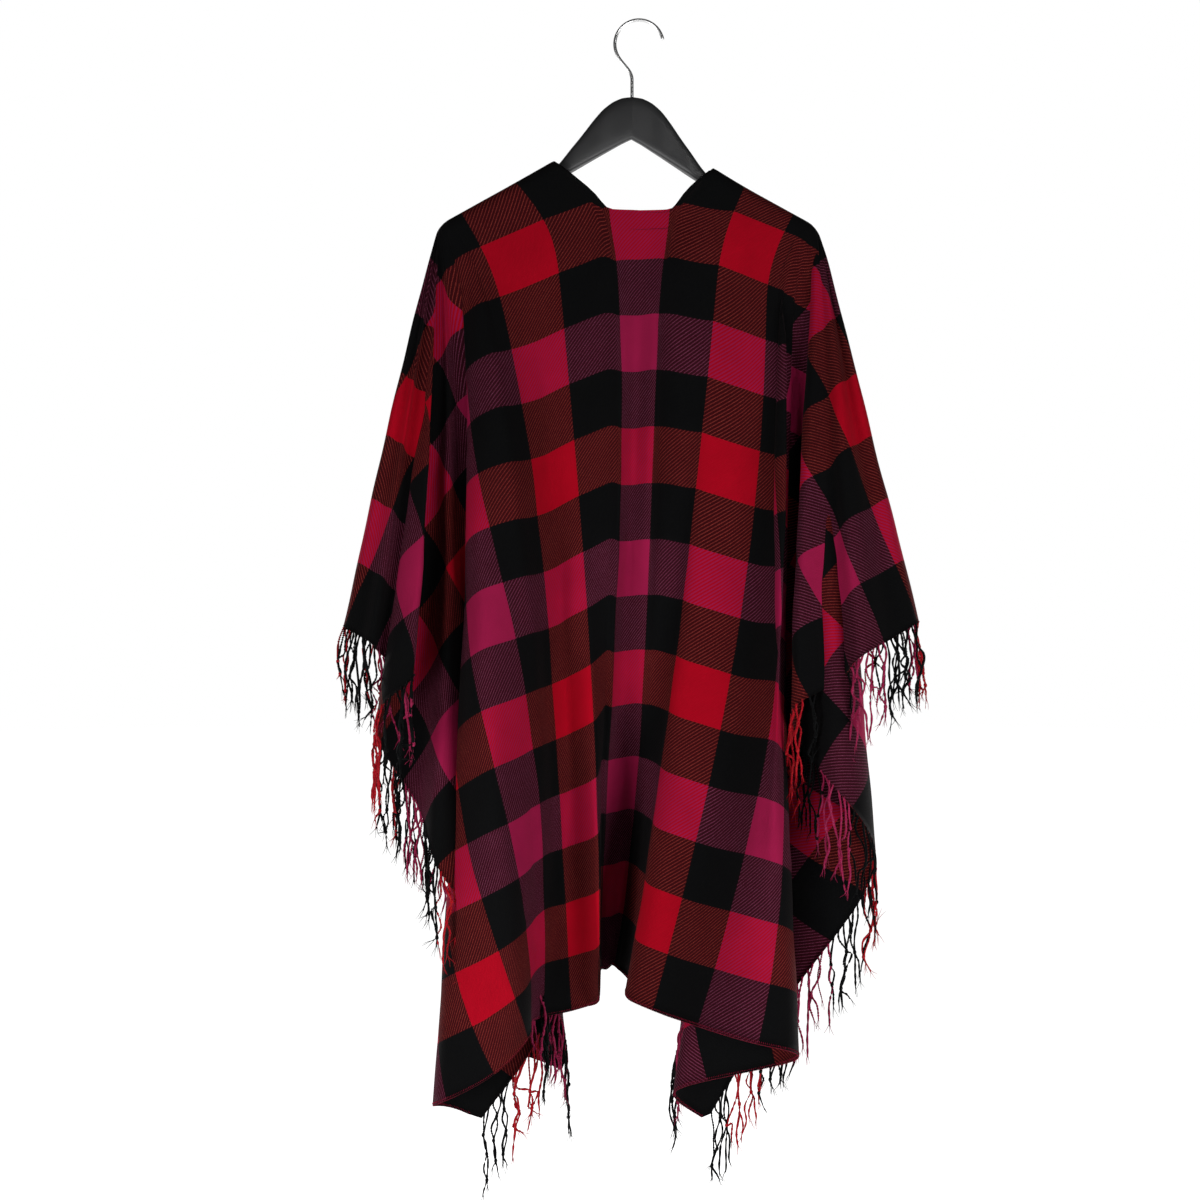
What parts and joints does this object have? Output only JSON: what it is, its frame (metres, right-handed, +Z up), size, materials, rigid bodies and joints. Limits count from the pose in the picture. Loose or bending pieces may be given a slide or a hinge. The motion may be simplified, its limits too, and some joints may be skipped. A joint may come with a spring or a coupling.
{
  "type": "open-front blanket wrap on a clothes hanger",
  "caption": "Checked open-front wrap with fringed sides, draped over a contoured clothes hanger with a wire hook.",
  "frame": {"origin": "inner crown of the hanger's hook, where a rail bears", "axes": "+Z up, the garment's back faces -Y and its open front +Y, +X to the right seen from the back"},
  "size_m": [0.7346, 0.3937, 1.4457],
  "materials": {
    "hanger_black": "satin black",
    "hook_chrome": "polished wire",
    "cloth_check": "soft napped twill, red and magenta checks on black",
    "fringe_yarn": "twisted yarn ends"
  },
  "bodies": {
    "root": {"hanger_body": "hanger_black", "hanger_hook": "hook_chrome", "cloth_back": "cloth_check", "cloth_front_left": "cloth_check", "cloth_front_right": "cloth_check", "fringe_back_left_1": "fringe_yarn", "fringe_back_left_2": "fringe_yarn", "fringe_back_left_3": "fringe_yarn", "fringe_back_right_1": "fringe_yarn", "fringe_back_right_2": "fringe_yarn", "fringe_back_right_3": "fringe_yarn", "fringe_front_left": "fringe_yarn", "fringe_front_right": "fringe_yarn"}
  },
  "joints": []
}
